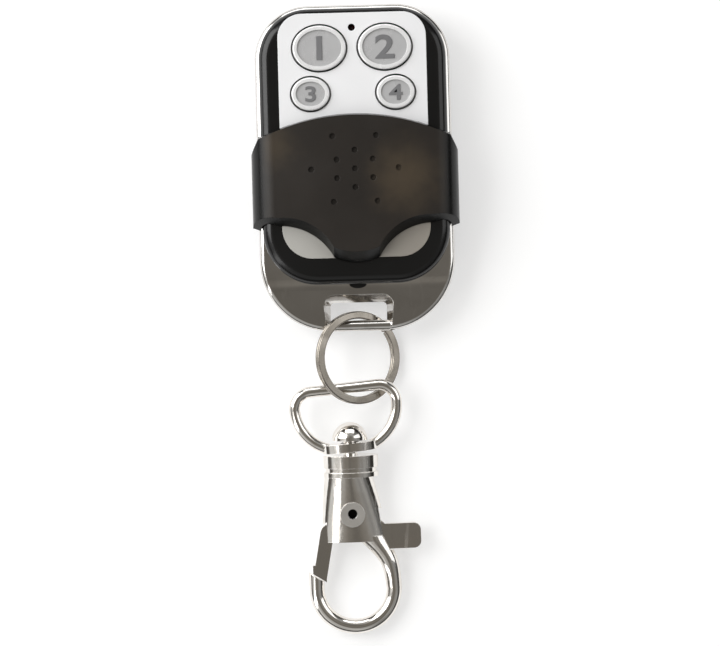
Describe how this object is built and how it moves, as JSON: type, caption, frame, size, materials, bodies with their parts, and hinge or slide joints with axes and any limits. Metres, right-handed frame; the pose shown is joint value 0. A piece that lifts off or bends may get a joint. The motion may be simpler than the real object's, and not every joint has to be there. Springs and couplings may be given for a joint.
{
  "type": "gate remote control",
  "caption": "Hand-held radio gate remote with plated oval keys under a sliding cover, a metal rim, and a key ring with a swivel trigger clasp.",
  "frame": {"origin": "on the flat back of the case, under the middle of the case outline", "axes": "+Y along the case to the lamp end, +Z out of the key face, the chain lies towards -Y"},
  "size_m": [0.038, 0.1164, 0.0139],
  "materials": {
    "frame_chrome": "polished",
    "back_plastic": "fine grain",
    "front_plastic": "satin gloss",
    "plate_silver": "satin",
    "cover_plastic": "satin",
    "key_silver": "plated, satin",
    "board_green": "solder mask",
    "chip_black": "moulded",
    "can_metal": "satin",
    "copper": "plain",
    "lamp_lens": "clear",
    "battery_wrap": "printed film, no words",
    "contact_metal": "plain",
    "screw_steel": "blackened",
    "ring_steel": "polished",
    "clasp_metal": "polished nickel",
    "switch_metal": "satin"
  },
  "bodies": {
    "case": {"metal_frame": "frame_chrome", "back_shell": "back_plastic", "front_shell": "front_plastic", "face_plate": "plate_silver", "circuit_board": "board_green", "encoder_chip": "chip_black", "rf_resonator": "can_metal", "transistor": "chip_black", "chip_parts": "chip_black", "antenna_loop": "copper", "led": "lamp_lens", "battery": "battery_wrap", "positive_plate": "contact_metal", "negative_leaf": "contact_metal", "case_screws": "screw_steel", "switch_body_1": "switch_metal", "switch_body_2": "switch_metal", "switch_body_3": "switch_metal", "switch_body_4": "switch_metal"},
    "cover": {"slide_cover": "cover_plastic"},
    "key_1_body": {"key_1": "key_silver", "plunger_1": "chip_black"},
    "key_2_body": {"key_2": "key_silver", "plunger_2": "chip_black"},
    "key_3_body": {"key_3": "key_silver", "plunger_3": "chip_black"},
    "key_4_body": {"key_4": "key_silver", "plunger_4": "chip_black"},
    "ring": {"split_ring": "ring_steel"},
    "loop": {"d_ring": "clasp_metal"},
    "clasp": {"hook_body": "clasp_metal", "swivel_post": "clasp_metal", "lever_rivet": "clasp_metal", "lever_spring": "contact_metal"},
    "lever": {"trigger_lever": "clasp_metal"}
  },
  "joints": [
    {"name": "cover_slide", "type": "slide", "parent": "case", "child": "cover", "axis": [0, 1, 0], "range_m": [0, 0.0185]},
    {"name": "key_1_press", "type": "slide", "parent": "case", "child": "key_1_body", "axis": [0, 0, -1], "range_m": [0, 0.0004], "stiffness_N_per_m": 500},
    {"name": "key_2_press", "type": "slide", "parent": "case", "child": "key_2_body", "axis": [0, 0, -1], "range_m": [0, 0.0004], "stiffness_N_per_m": 500},
    {"name": "key_3_press", "type": "slide", "parent": "case", "child": "key_3_body", "axis": [0, 0, -1], "range_m": [0, 0.0004], "stiffness_N_per_m": 500},
    {"name": "key_4_press", "type": "slide", "parent": "case", "child": "key_4_body", "axis": [0, 0, -1], "range_m": [0, 0.0004], "stiffness_N_per_m": 500},
    {"name": "ring_swing", "type": "hinge", "parent": "case", "child": "ring", "pos_m": [0, -0.0291, 0.0048], "axis": [1, 0, 0], "range_deg": [-50, 33]},
    {"name": "loop_swing", "type": "hinge", "parent": "ring", "child": "loop", "pos_m": [-0.0032, -0.04059, 0.0048], "axis": [0.9962, 0.0872, 0], "range_deg": [-90, 45]},
    {"name": "clasp_swivel", "type": "hinge", "parent": "loop", "child": "clasp", "pos_m": [-0.00225, -0.05142, 0.00402], "axis": [0.0122, -0.9974, -0.0715], "continuous": true},
    {"name": "lever_open", "type": "hinge", "parent": "clasp", "child": "lever", "pos_m": [-0.0021, -0.06379, 0.00313], "axis": [0.0009, -0.0715, 0.9974], "range_deg": [0, 20], "stiffness_Nm_per_rad": 0.02, "springref_deg": -11.46}
  ]
}
